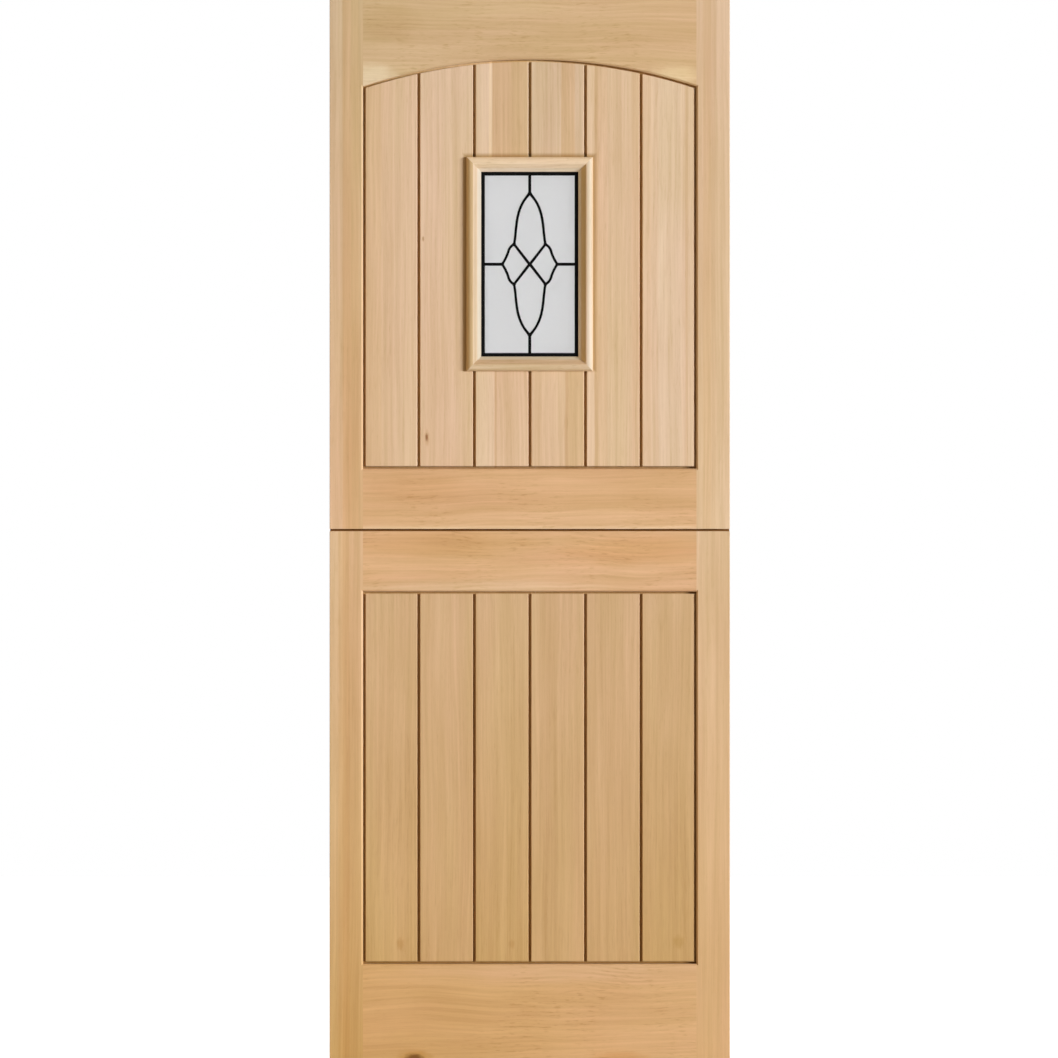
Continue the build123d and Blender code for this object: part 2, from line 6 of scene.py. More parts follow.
import bpy
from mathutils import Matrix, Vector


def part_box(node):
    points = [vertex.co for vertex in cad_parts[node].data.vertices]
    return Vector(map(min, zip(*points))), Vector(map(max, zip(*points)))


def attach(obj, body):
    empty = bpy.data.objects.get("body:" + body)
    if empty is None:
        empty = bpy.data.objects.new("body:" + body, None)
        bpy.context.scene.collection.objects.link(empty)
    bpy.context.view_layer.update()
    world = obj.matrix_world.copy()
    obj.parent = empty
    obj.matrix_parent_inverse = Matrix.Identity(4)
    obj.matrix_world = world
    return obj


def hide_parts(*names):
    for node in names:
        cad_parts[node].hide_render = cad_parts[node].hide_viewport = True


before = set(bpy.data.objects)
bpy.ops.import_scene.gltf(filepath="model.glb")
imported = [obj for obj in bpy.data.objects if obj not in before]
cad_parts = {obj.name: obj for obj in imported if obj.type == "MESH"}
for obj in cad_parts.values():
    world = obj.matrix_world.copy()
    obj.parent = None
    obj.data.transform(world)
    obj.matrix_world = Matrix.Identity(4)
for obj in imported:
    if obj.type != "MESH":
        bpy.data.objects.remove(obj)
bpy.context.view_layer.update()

# Photograph: its height on the leaf's face, and the camera that takes it in
PICTURE_HEIGHT = 2.0145
PICTURE_MIDDLE = 1.022
PICTURE_SIDE = -0.0014
LEAF_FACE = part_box("upper_meeting_rail")[0].y
LENS = 300.0
SENSOR = 36.0

# Studio: the floor, the background and the light that comes from all round
FLOOR_HALF = 9.0
FLOOR_DROP = 0.0005
FLOOR_COLOUR = (0.64, 0.60, 0.54, 1)
FLOOR_ROUGHNESS = 0.9
FLOOR_GLOW = 0.68
FLOOR_GLOW_COLOUR = (0.98, 1.01, 1.06, 1)
AMBIENT = 0.13
AMBIENT_COLOUR = (1.0, 0.68, 0.32, 1)
WHITE = (1, 1, 1, 1)

# Lamps far away: their bearing from the front round to the right, height and spread are in degrees
Lamp = namedtuple("Lamp", "bearing height strength spread colour")
SIDE_LAMP_COLOUR = (0.96, 1.01, 1.095)
LAMPS = {
    "side_lamp_front": Lamp(46, 3, 1.24, 6.5, SIDE_LAMP_COLOUR),
    "side_lamp_middle": Lamp(53, 3, 1.24, 6.5, SIDE_LAMP_COLOUR),
    "side_lamp_back": Lamp(60, 3, 1.24, 6.5, SIDE_LAMP_COLOUR),
    "fill_lamp": Lamp(-72, 8, 0.46, 30, (1.0, 0.66, 0.26)),
    "rear_lamp": Lamp(215, 17, 2.4, 25, (1, 1, 1)),
    "top_lamp": Lamp(60, 84, 0.4, 40, (1.0, 0.84, 0.58)),
}

# Oak: tones of the planks as they are seen, in sRGB
OAK_TONES = {
    "cream": (224, 194, 160),
    "fawn": (219, 186, 149),
    "biscuit": (214, 182, 145),
    "straw": (202, 170, 128),
    "honey": (216, 173, 127),
    "wheat": (208, 173, 130),
    "amber": (201, 163, 111),
    "toffee": (203, 159, 103),
    "tawny": (198, 160, 103),
    "treacle": (192, 150, 86),
    "barley": (217, 180, 136),
    "flax": (206, 177, 134),
    "millet": (214, 179, 136),
    "maple": (214, 172, 121),
    "peach": (220, 187, 148),
    # Painted light and shade for the raised moulding's top, left and bottom pieces
    "bone_painted_light": (232, 207, 176),
    "hazel_painted_shade": (204, 176, 142),
    "parchment_painted_shade": (213, 181, 142),
    "shell": (213, 185, 150),
    "oat": (220, 191, 158),
}

# Each plank: the way its grain runs, its tone at the foot or left end, and at the top or right end
UPRIGHT = "upright"
LEVEL = "level"
OAK_PLANKS = {
    "upper_hinge_stile": (UPRIGHT, "honey", "straw"),
    "upper_closing_stile": (UPRIGHT, "peach", "biscuit"),
    "arched_top_rail": (LEVEL, "flax", "millet"),
    "upper_meeting_rail": (LEVEL, "honey", "honey"),
    "upper_board_1": (UPRIGHT, "fawn", "biscuit"),
    "upper_board_2": (UPRIGHT, "fawn", "oat"),
    "upper_board_3_below_light": (UPRIGHT, "fawn", "fawn"),
    "upper_board_3_above_light": (UPRIGHT, "shell", "shell"),
    "upper_board_4_below_light": (UPRIGHT, "fawn", "fawn"),
    "upper_board_4_above_light": (UPRIGHT, "shell", "shell"),
    "upper_board_5": (UPRIGHT, "peach", "fawn"),
    "upper_board_6": (UPRIGHT, "cream", "cream"),
    # The raised moulding's pieces take their own tones as painted light and shade: the top lighter, the
    # bottom and left darker
    "glazing_moulding_top": (LEVEL, "bone_painted_light", "bone_painted_light"),
    "glazing_moulding_bottom": (LEVEL, "parchment_painted_shade", "parchment_painted_shade"),
    "glazing_moulding_left": (UPRIGHT, "hazel_painted_shade", "hazel_painted_shade"),
    "glazing_moulding_right": (UPRIGHT, "cream", "cream"),
    "glazing_bead_top": (LEVEL, "cream", "cream"),
    "glazing_bead_bottom": (LEVEL, "fawn", "fawn"),
    "glazing_bead_left": (UPRIGHT, "cream", "cream"),
    "glazing_bead_right": (UPRIGHT, "cream", "cream"),
    "lower_hinge_stile": (UPRIGHT, "treacle", "barley"),
    "lower_closing_stile": (UPRIGHT, "maple", "peach"),
    "bottom_rail": (LEVEL, "toffee", "maple"),
    "lower_meeting_rail": (LEVEL, "honey", "honey"),
    "lower_board_1": (UPRIGHT, "tawny", "wheat"),
    "lower_board_2": (UPRIGHT, "amber", "wheat"),
    "lower_board_3": (UPRIGHT, "tawny", "wheat"),
    "lower_board_4": (UPRIGHT, "amber", "wheat"),
    "lower_board_5": (UPRIGHT, "amber", "wheat"),
    "lower_board_6": (UPRIGHT, "tawny", "wheat"),
    "hinge_jamb": (UPRIGHT, "amber", "honey"),
    "closing_jamb": (UPRIGHT, "amber", "honey"),
    "frame_head": (LEVEL, "honey", "wheat"),
    "frame_sill": (LEVEL, "amber", "honey"),
}

# Bands of another tone along a plank: from where to where across the door, or up it on a level plank
Band = namedtuple("Band", "start end colour share wave")
OAK_BANDS = {
    "upper_board_1": [
        Band(-0.3160, -0.2830, (212, 178, 137), 0.90, 0.004),
        Band(-0.2620, -0.2120, (221, 190, 155), 0.85, 0.004),
    ],
    "upper_board_3_above_light": [
        Band(-0.0715, -0.004, (207, 171, 127), 0.75, 0.003),
        Band(-0.104, -0.0775, (224, 195, 162), 0.70, 0.0),
        Band(-0.0775, -0.0720, (237, 210, 172), 0.85, 0.0),
    ],
    "upper_board_3_below_light": [
        Band(-0.104, -0.0670, (227, 199, 165), 0.75, 0.002),
        Band(-0.0670, -0.0630, (203, 164, 119), 0.60, 0.003),
    ],
    "upper_board_4_above_light": [
        Band(0.0600, 0.0860, (207, 171, 127), 0.70, 0.004),
    ],
    "upper_board_4_below_light": [
        Band(0.0735, 0.1040, (211, 177, 131), 0.60, 0.010),
        Band(0.0680, 0.0735, (205, 163, 118), 0.55, 0.010),
    ],
    "upper_board_5": [
        Band(0.1080, 0.1235, (229, 200, 165), 0.70, 0.004),
        Band(0.1235, 0.1300, (207, 172, 128), 0.60, 0.006),
        Band(0.1480, 0.1950, (220, 190, 153), 0.85, 0.004),
    ],
    "upper_board_6": [
        Band(0.2100, 0.2310, (221, 189, 152), 0.85, 0.004),
        Band(0.2450, 0.2900, (228, 201, 169), 0.85, 0.004),
        Band(0.2960, 0.3015, (208, 173, 130), 0.55, 0.002),
        Band(0.3015, 0.3130, (230, 202, 168), 0.60, 0.002),
    ],
    "upper_hinge_stile": [
        Band(-0.3400, -0.3170, (203, 170, 122), 0.50, 0.004),
        Band(-0.3820, -0.3560, (213, 184, 148), 0.60, 0.004),
        # Painted highlight along the stile's inner arris, which faces the light
        Band(-0.3260, -0.3160, (222, 192, 157), 0.20, 0.002),
    ],
    "upper_closing_stile": [
        Band(0.3300, 0.3450, (214, 177, 133), 0.45, 0.004),
        Band(0.3540, 0.3830, (227, 198, 163), 0.55, 0.004),
    ],
    "lower_hinge_stile": [
        Band(-0.3560, -0.3430, (198, 153, 98), 0.50, 0.006),
        Band(-0.3820, -0.3640, (210, 176, 130), 0.55, 0.004),
        # Painted highlight along the stile's inner arris, which faces the light
        Band(-0.3260, -0.3160, (218, 182, 136), 0.20, 0.002),
    ],
    # On the raised moulding the bands are painted highlight and shade along its slopes: the pale, greyer
    # strips by the glass are painted reflection, and the darker, warmer strips are painted shade
    "glazing_moulding_left": [
        Band(-0.1260, -0.1080, (206, 174, 127), 0.90, 0.0),
        Band(-0.1065, -0.1015, (190, 165, 133), 0.80, 0.0),
        Band(-0.1000, -0.0920, (200, 188, 166), 0.95, 0.0),
    ],
    "glazing_moulding_right": [
        Band(0.0915, 0.0975, (230, 220, 204), 0.80, 0.0),
        Band(0.0985, 0.1065, (216, 186, 134), 0.90, 0.0),
        Band(0.1090, 0.1190, (213, 194, 165), 0.90, 0.0),
    ],
    "glazing_moulding_top": [
        Band(1.7185, 1.7320, (230, 203, 165), 0.90, 0.0),
        Band(1.7090, 1.7180, (245, 221, 184), 0.85, 0.0),
        Band(1.7030, 1.7090, (246, 230, 206), 0.90, 0.0),
    ],
    "glazing_moulding_bottom": [
        Band(1.3445, 1.3510, (214, 200, 172), 0.80, 0.0),
        Band(1.3235, 1.3345, (217, 192, 156), 0.90, 0.0),
    ],
}

# Edge of a band: half the width over which it fades, and how many waves a metre holds along each axis
BAND_SOFTNESS = 0.0016
BAND_WAVES = (4, 4, 7)

# Knots, sapwood, stains and patches of tone, and one painted highlight: their middle and half sizes,
# across the door and up it
Spot = namedtuple("Spot", "across up half_width half_height colour share")
OAK_SPOTS = {
    "arched_top_rail": [
        Spot(-0.300, 1.880, 0.056, 0.030, (233, 209, 174), 0.80),
        Spot(0.276, 1.885, 0.058, 0.024, (228, 203, 158), 0.80),
        Spot(-0.270, 1.985, 0.070, 0.050, (194, 160, 110), 0.45),
    ],
    "upper_meeting_rail": [
        Spot(0.000, 1.032, 0.360, 0.036, (222, 183, 138), 0.55),
        # Painted highlight along the rail's lower edge, where its arris catches the light
        Spot(0.000, 1.022, 2.000, 0.008, (236, 200, 160), 0.70),
        Spot(-0.210, 1.098, 0.120, 0.030, (205, 158, 106), 0.45),
    ],
    "upper_board_2": [
        Spot(-0.1958, 1.1950, 0.0055, 0.0170, (190, 146, 98), 0.55),
        Spot(-0.1962, 1.1965, 0.0030, 0.0085, (140, 92, 46), 0.80),
        Spot(-0.2030, 1.5745, 0.0026, 0.0060, (168, 124, 78), 0.70),
    ],
    "lower_meeting_rail": [
        Spot(0.000, 0.916, 0.360, 0.036, (222, 183, 140), 0.55),
        Spot(-0.125, 0.912, 0.280, 0.015, (220, 184, 141), 0.80),
        Spot(-0.190, 0.994, 0.210, 0.032, (206, 159, 104), 0.55),
        Spot(0.200, 0.982, 0.180, 0.034, (212, 161, 107), 0.55),
    ],
    "bottom_rail": [
        Spot(-0.160, 0.030, 0.360, 0.110, (202, 159, 100), 0.35),
        Spot(0.050, 0.185, 0.330, 0.036, (220, 180, 138), 0.50),
        Spot(-0.221, 0.017, 0.038, 0.015, (191, 142, 70), 0.70),
        Spot(-0.221, 0.015, 0.021, 0.009, (120, 74, 12), 0.92),
        Spot(0.168, 0.016, 0.062, 0.014, (198, 144, 84), 0.60),
    ],
    "lower_board_1": [Spot(-0.2464, 0.231, 0.009, 0.014, (184, 142, 84), 0.60)],
    "lower_board_3": [Spot(-0.0340, 0.231, 0.007, 0.010, (188, 146, 90), 0.50)],
    "lower_board_6": [Spot(0.2837, 0.235, 0.013, 0.015, (186, 148, 86), 0.55)],
}

# Edge of a spot, in its own half sizes: how ragged and uneven it is, and where its fading starts and ends
SPOT_RAGS = (1.6, 1.6, 1.6)
SPOT_RAG_DETAIL = 3.0
SPOT_UNEVENNESS = 0.9
SPOT_FADING = (0.35, 1.15)

# Painted shade in the dark gaps at the boards' ends, laid on their end tongues
PAINTED_END_SHADE_COLOUR = (126, 84, 32)
PAINTED_END_SHADE_HALF_WIDTH = 1.0
PAINTED_END_SHADE_HEIGHT = 0.0085
PAINTED_END_SHADE_INSET_SHARE = 0.8
PAINTED_FOOT_SHADE_SHARE = 0.85
PAINTED_HEAD_SHADE_SHARE = 0.75

# Painted shade in the grooves: how deep behind the front it starts to show and is in full, and its tint
PAINTED_RECESS_SHADE_DEPTHS = (0.0012, 0.0030)
PAINTED_RECESS_SHADE_TINT = (0.95, 0.86, 0.62, 1)

# Painted shade on the boards round the raised moulding, for its contact shadow: how wide it is, how far
# its lower edge is lifted, how deep it reaches, and its tint
PAINTED_RIM_SHADE_WIDTH = 0.010
PAINTED_RIM_SHADE_LIFT = 0.006
PAINTED_RIM_SHADE_DEPTH = 0.015
PAINTED_RIM_SHADE_TINT = (0.56, 0.47, 0.28, 1)
PAINTED_RIM_SHADE_BOARDS = [
    "upper_board_2",
    "upper_board_3_above_light",
    "upper_board_3_below_light",
    "upper_board_4_above_light",
    "upper_board_4_below_light",
    "upper_board_5",
]

# Oak grain: how many features of each kind a metre holds, across the grain and along it
Streak = namedtuple("Streak", "across along detail roughness", defaults=(2.0, 0.5))
OAK_STREAKS = {
    "wander": Streak(3.0, 1.6),
    "broad": Streak(48, 0.8),
    "narrow": Streak(130, 2.2),
    "fine": Streak(300, 4.5, 3.0, 0.6),
    "patch": Streak(9, 4.0),
    "blush": Streak(20, 2.4),
    "pores": Streak(1500, 42, 1.0),
    "strewn": Streak(11, 6.0),
    "dashes": Streak(320, 30),
}

# Where the noise of these features starts to show, and where it shows in full
BLUSH_RANGE = (0.25, 0.75)
PORE_RANGE = (0.60, 0.74)
STREWN_RANGE = (0.40, 0.62)
DASH_RANGE = (0.53, 0.70)

# How much figure and fleck a plank has, by the way its grain runs
FIGURE_SHARES = {UPRIGHT: 0.4, LEVEL: 1.0}
FLECK_SHARES = {UPRIGHT: 0.35, LEVEL: 1.0}

# Each plank has its own stretch of the noise. With more figure the grain is closer and sways more
SEED_STEP = (1.7, 2.3, 3.1)
GRAIN_CLOSENESS = 0.55
GRAIN_SWAY = 0.005
GRAIN_FIGURE_SWAY = 0.05

# Growth rings, about a heart that lies in front of the plank
RING_PITCH = 0.0062
RING_SWAY = 0.06
RING_LEAN = 0.03
HEART_DEPTH = 0.07

# Shade of the grain: how much of each feature goes into it, and how much of it red, green and blue
# take, because darker grain is warmer
SHADE_SHARES = {
    "broad": 0.30,
    "narrow": 0.27,
    "fine": 0.30,
    "patch": 0.20,
    "rings": 0.03,
    "flecks": -0.17,
    "pores": -0.10,
}
SHADE_WEIGHTS = (0.78, 1.0, 1.55)

# Tints between which the blush goes
BLUSH_TINTS = [(0.988, 1.0, 0.96, 1), (1.012, 0.993, 1.022, 1)]

# Surface of the oak: fine streaks stand up and pores lie deep, and both are rougher
OAK_ROUGHNESS = 0.52
FINE_ROUGHNESS = 0.20
PORE_ROUGHNESS = 0.15
FINE_HEIGHT = 0.5
OAK_SPECULAR = 0.35
OAK_BUMP = 0.35
BUMP_DEPTH = 0.0002

# Plain finishes: two close colours in sRGB, two roughnesses, and the noise that mixes them
Finish = namedtuple("Finish", "colours roughness noise metallic specular bump", defaults=(0.0, 0.5, 0.2))
PLAIN_FINISHES = {
    "seal_rubber": Finish([(126, 82, 38), (144, 96, 48)], (0.62, 0.80), (400, 400, 400), specular=0.1),
    "hinge_steel": Finish(
        [(150, 152, 154), (170, 171, 171)], (0.54, 0.68), (900, 900, 30), metallic=1.0, bump=0.1
    ),
    "screw_steel": Finish(
        [(122, 119, 112), (140, 137, 130)], (0.42, 0.54), (600, 600, 600), metallic=1.0, bump=0.1
    ),
    "dowel_beech": Finish([(206, 168, 128), (190, 150, 112)], (0.55, 0.7), (300, 20, 300)),
    "spacer_aluminium": Finish(
        [(184, 186, 188), (200, 201, 203)], (0.3, 0.45), (500, 500, 500), metallic=1.0
    ),
    "black_lead": Finish(
        [(3, 3, 3), (8, 8, 8)], (0.60, 0.80), (260, 260, 260), specular=0.07, bump=0.4
    ),
    "setting_plastic": Finish([(58, 60, 62), (70, 72, 74)], (0.4, 0.55), (500, 500, 500)),
}
FINISH_NOISE_DETAIL = 3.0
FINISH_NOISE_ROUGHNESS = 0.6

# Range of the noise over which a finish goes from its first roughness to its second
NOISE_RANGE = (0.2, 0.8)

# Satin glass: its frosting, two close tints, and how it takes the light
FROSTING = (900, 900, 900)
GLASS_TINTS = [(0.775, 0.777, 0.78, 1), (0.815, 0.817, 0.82, 1)]
GLASS_ROUGHNESS = (0.42, 0.52)
GLASS_TRANSMISSION = 0.94
GLASS_IOR = 1.5
GLASS_BUMP = 0.15
GLASS_BUMP_DEPTH = 0.0003

# What takes each finish
HINGE_PLATES = [
    f"{leaf}_{height}_hinge_{plate}"
    for leaf in ("lower_leaf", "upper_leaf")
    for height in ("bottom", "top")
    for plate in ("frame_plate", "leaf_plate")
]
SLOT_NODES = {
    "seal_rubber": ["frame_seal", "glazing_gaskets", "meeting_seal"],
    "hinge_steel": ["hinge_pins", *HINGE_PLATES],
    "screw_steel": ["frame_hinge_screws", "upper_leaf_hinge_screws", "lower_leaf_hinge_screws"],
    "dowel_beech": ["upper_leaf_dowels", "lower_leaf_dowels"],
    "obscure_glass": ["outer_pane", "inner_pane"],
    "spacer_aluminium": ["pane_spacer"],
    "black_lead": ["lead_came"],
    "setting_plastic": ["setting_blocks"],
}

# Lead came: where its strips meet, as shares of half the sight size
CAME_LAP = 0.002
LANCET_FOOT_SHARE = 0.216
LANCET_TIP_SHARE = 0.770
LANCET_SIDE_SHARE = 0.322
BAR_END_SHARE = 0.567

# Lancets of the came: the share of their length where they keep their width, how much fuller they are
# beyond it, and how far from the middle line that is in full
LANCET_KEPT_SHARE = 0.42
LANCET_FULLNESS = 0.043
LANCET_EASE = 0.005

# Straight bars of the came: how near its middle lines their sides are, and how much they are widened
BAR_REACH = 0.004
BAR_SWELL = 1.17

# Rounding of the came's front edges, and its solder joints
CAME_MERGE = 0.0003
CAME_SHOULDER = 0.0008
SOLDER_RADIUS = 0.0036
SOLDER_RISE = 0.0009
SOLDER_SINK = 0.0003
SOLDER_SEGMENTS = 20
SOLDER_RINGS = 12

# Seal between the leaves: the rounding of its lip
SEAL_MERGE = 0.00002
SEAL_ROUND = 0.0008

# Mesh work: segments of a rounded edge, the share of a normal that makes a face square to an axis,
# the angle within which faces count as flat, and the one within which they are shaded smooth
ROUND_SEGMENTS = 3
SQUARE_ON = 0.99
FLAT_ANGLE = math.radians(1)
SMOOTH_ANGLE = math.radians(40)


def linear(colour):
    """An sRGB colour of 0 to 255 as the linear colour that a socket takes."""
    shares = [part / 255 for part in colour]
    return tuple(s / 12.92 if s <= 0.04045 else ((s + 0.055) / 1.055) ** 2.4 for s in shares) + (1,)


def place_node(tree, kind, inputs=None, **settings):
    """A new node, with its settings made and each input joined to a socket or given a value."""
    made = tree.nodes.new(kind)
    for name, value in settings.items():
        setattr(made, name, value)
    for name, value in (inputs or {}).items():
        if isinstance(value, bpy.types.NodeSocket):
            tree.links.new(value, made.inputs[name])
        else:
            made.inputs[name].default_value = value
    return made


def sums(tree, operation, *values):
    """The output of a Math node."""
    return place_node(tree, "ShaderNodeMath", dict(enumerate(values)), operation=operation).outputs[0]


def vectors(tree, operation, *values):
    """The output of a Vector Math node, which is a number for a length and a vector for the rest."""
    made = place_node(tree, "ShaderNodeVectorMath", dict(enumerate(values)), operation=operation)
    return made.outputs["Value" if operation == "LENGTH" else "Vector"]


def joined(tree, x=0.0, y=0.0, z=0.0):
    """A vector from its three parts."""
    return place_node(tree, "ShaderNodeCombineXYZ", {0: x, 1: y, 2: z}).outputs[0]


def parted(tree, vector):
    """The three parts of a vector."""
    return place_node(tree, "ShaderNodeSeparateXYZ", {0: vector}).outputs


def object_place(tree):
    """Object coordinates."""
    return place_node(tree, "ShaderNodeTexCoord").outputs["Object"]


def noise(tree, place, shares, detail=2.0, roughness=0.5):
    """Noise of about 0 to 1, with the number of its features per metre along each axis."""
    inputs = {
        "Vector": vectors(tree, "MULTIPLY", place, shares),
        "Scale": 1.0,
        "Detail": detail,
        "Roughness": roughness,
    }
    return place_node(tree, "ShaderNodeTexNoise", inputs).outputs[0]


def centred(tree, value):
    """Noise of about 0 to 1 brought to either side of zero."""
    return sums(tree, "SUBTRACT", value, 0.5)


def ramped(tree, value, low, high, start=0.0, end=1.0):
    """A value brought smoothly from one range to another."""
    inputs = {"Value": value, "From Min": low, "From Max": high, "To Min": start, "To Max": end}
    return place_node(tree, "ShaderNodeMapRange", inputs, interpolation_type="SMOOTHSTEP").outputs[0]


def blended(tree, share, first, second, mode="MIX"):
    """Two colours blended."""
    inputs = {0: share, 6: first, 7: second}
    return place_node(tree, "ShaderNodeMix", inputs, data_type="RGBA", blend_type=mode).outputs[2]


def new_group(name, inputs, outputs):
    """An empty shader group with named sockets, and the sockets of its two end nodes."""
    group = bpy.data.node_groups.new(name, "ShaderNodeTree")
    for socket, kind in inputs.items():
        group.interface.new_socket(name=socket, in_out="INPUT", socket_type=f"NodeSocket{kind}")
    for socket, kind in outputs.items():
        group.interface.new_socket(name=socket, in_out="OUTPUT", socket_type=f"NodeSocket{kind}")
    return group, group.nodes.new("NodeGroupInput").outputs, group.nodes.new("NodeGroupOutput").inputs


def seeded_place(tree, given):
    """A plank's place on its own stretch of the noise, with the grain closer where it is figured."""
    seed = joined(tree, given["Seed"], given["Seed"], given["Seed"])
    closer = sums(tree, "ADD", given["Figure"], GRAIN_CLOSENESS)
    drawn = vectors(tree, "MULTIPLY", given["Place"], joined(tree, 1.0, 1.0, closer))
    return vectors(tree, "MULTIPLY_ADD", seed, SEED_STEP, drawn)


def swayed_place(tree, given, place, wander):
    """A place that sways from side to side along the grain."""
    sway = sums(tree, "MULTIPLY_ADD", given["Figure"], GRAIN_FIGURE_SWAY, GRAIN_SWAY)
    return vectors(tree, "ADD", place, joined(tree, sums(tree, "MULTIPLY", wander, sway)))


def streaks(tree, place, name):
    """Noise of about 0 to 1, drawn out along the grain."""
    streak = OAK_STREAKS[name]
    shares = (streak.across, streak.across, streak.along)
    return noise(tree, place, shares, streak.detail, streak.roughness)


def growth_rings(tree, given, wander):
    """Waves from -1 to 1 about the heart of the log."""
    across, through, along = parted(tree, given["Place"])
    swayed = sums(tree, "MULTIPLY_ADD", wander, RING_SWAY, across)
    from_heart = joined(tree, swayed, sums(tree, "ADD", through, HEART_DEPTH))
    radius = vectors(tree, "LENGTH", from_heart)
    leaning = sums(tree, "MULTIPLY_ADD", along, RING_LEAN, radius)
    return sums(tree, "SINE", sums(tree, "MULTIPLY", leaning, 2 * math.pi / RING_PITCH))


def oak_features(tree, given):
    """What varies over a plank: streaks, patches, a blush, pores, and flecks and rings in places."""
    moved = seeded_place(tree, given)
    wander = centred(tree, streaks(tree, moved, "wander"))
    grain = swayed_place(tree, given, moved, wander)
    features = {name: centred(tree, streaks(tree, grain, name)) for name in ("broad", "narrow", "fine")}
    features["patch"] = centred(tree, streaks(tree, moved, "patch"))
    features["blush"] = ramped(tree, streaks(tree, grain, "blush"), *BLUSH_RANGE)
    features["pores"] = ramped(tree, streaks(tree, grain, "pores"), *PORE_RANGE)
    strewn = ramped(tree, streaks(tree, moved, "strewn"), *STREWN_RANGE)
    dashes = ramped(tree, streaks(tree, grain, "dashes"), *DASH_RANGE)
    features["flecks"] = sums(tree, "MULTIPLY", sums(tree, "MULTIPLY", dashes, strewn), given["Fleck"])
    figured = sums(tree, "MULTIPLY", growth_rings(tree, given, wander), given["Figure"])
    features["rings"] = sums(tree, "MULTIPLY", figured, strewn)
    return features


def oak_grain_group():
    """Oak: streaks, growth rings, patches of tone and open pores, along the third axis of its place."""
    inputs = {
        "Place": "Vector",
        "Seed": "Float",
        "Half Length": "Float",
        "Start Tone": "Color",
        "End Tone": "Color",
        "Figure": "Float",
        "Fleck": "Float",
    }
    outputs = {"Color": "Color", "Roughness": "Float", "Height": "Float"}
    group, given, result = new_group("oak_grain", inputs, outputs)
    features = oak_features(group, given)

    along = sums(group, "DIVIDE", parted(group, given["Place"])[2], given["Half Length"])
    way = place_node(group, "ShaderNodeMapRange", {"Value": along, "From Min": -1.0}).outputs[0]
    tone = blended(group, way, given["Start Tone"], given["End Tone"])
    blushed = blended(group, features["blush"], *BLUSH_TINTS)
    tinted = blended(group, 1.0, tone, blushed, "MULTIPLY")
    shade = 0.0
    for name, share in SHADE_SHARES.items():
        shade = sums(group, "MULTIPLY_ADD", features[name], share, shade)
    change = joined(group, shade, shade, shade)
    warmed = vectors(group, "MULTIPLY_ADD", change, SHADE_WEIGHTS, (1, 1, 1))
    group.links.new(blended(group, 1.0, tinted, warmed, "MULTIPLY"), result["Color"])

    rough = sums(group, "MULTIPLY_ADD", features["fine"], FINE_ROUGHNESS, OAK_ROUGHNESS)
    rough = sums(group, "MULTIPLY_ADD", features["pores"], PORE_ROUGHNESS, rough)
    group.links.new(rough, result["Roughness"])
    raised = sums(group, "MULTIPLY", features["fine"], FINE_HEIGHT)
    group.links.new(sums(group, "SUBTRACT", raised, features["pores"]), result["Height"])
    return group


def oak_band_group():
    """A band along the grain, with soft edges that may wave."""
    inputs = {"Place": "Vector", "Middle": "Float", "Half Width": "Float", "Wave": "Float"}
    group, given, result = new_group("oak_band", inputs, {"Mask": "Float"})
    across = parted(group, given["Place"])[0]
    wander = centred(group, noise(group, given["Place"], BAND_WAVES))
    waved = sums(group, "MULTIPLY_ADD", wander, given["Wave"], across)
    away = sums(group, "ABSOLUTE", sums(group, "SUBTRACT", waved, given["Middle"]))
    outside = sums(group, "SUBTRACT", away, given["Half Width"])
    group.links.new(ramped(group, outside, -BAND_SOFTNESS, BAND_SOFTNESS, 1.0, 0.0), result["Mask"])
    return group


def oak_spot_group():
    """A knot, stain, patch or mark of painted light or shade, given its middle and one over its half
    sizes, with an uneven edge.
    """
    inputs = {"Place": "Vector", "Middle": "Vector", "Shares": "Vector"}
    group, given, result = new_group("oak_spot", inputs, {"Mask": "Float"})
    away = vectors(group, "SUBTRACT", given["Place"], given["Middle"])
    shared = vectors(group, "MULTIPLY", away, given["Shares"])
    ragged = centred(group, noise(group, shared, SPOT_RAGS, SPOT_RAG_DETAIL))
    uneven = sums(group, "MULTIPLY_ADD", ragged, SPOT_UNEVENNESS, vectors(group, "LENGTH", shared))
    group.links.new(ramped(group, uneven, *SPOT_FADING, 1.0, 0.0), result["Mask"])
    return group


def painted_recess_shade_group():
    """Painted shade on the sides and tongues of a board, behind its front and before its back."""
    inputs = {"Place": "Vector", "Half Depth": "Float"}
    group, given, result = new_group("painted_recess_shade", inputs, {"Mask": "Float"})
    through = parted(group, given["Place"])[1]
    depth = sums(group, "SUBTRACT", given["Half Depth"], sums(group, "ABSOLUTE", through))
    group.links.new(ramped(group, depth, *PAINTED_RECESS_SHADE_DEPTHS), result["Mask"])
    return group


def painted_rim_shade_group():
    """Painted shade: a darker rim on the front of the boards, outside the foot of the raised moulding."""
    inputs = {"Place": "Vector", "Middle": "Vector", "Half Size": "Vector"}
    group, given, result = new_group("painted_rim_shade", inputs, {"Mask": "Float"})
    away = vectors(group, "SUBTRACT", given["Place"], given["Middle"])
    outside = vectors(group, "SUBTRACT", vectors(group, "ABSOLUTE", away), given["Half Size"])
    across, _, up = parted(group, outside)
    rim = ramped(group, sums(group, "MAXIMUM", across, up), 0.0, PAINTED_RIM_SHADE_WIDTH, 1.0, 0.0)
    in_front = sums(group, "LESS_THAN", parted(group, away)[1], PAINTED_RIM_SHADE_DEPTH)
    group.links.new(sums(group, "MULTIPLY", rim, in_front), result["Mask"])
    return group


oak_grain = oak_grain_group()
oak_band = oak_band_group()
oak_spot = oak_spot_group()
painted_recess_shade = painted_recess_shade_group()
painted_rim_shade = painted_rim_shade_group()


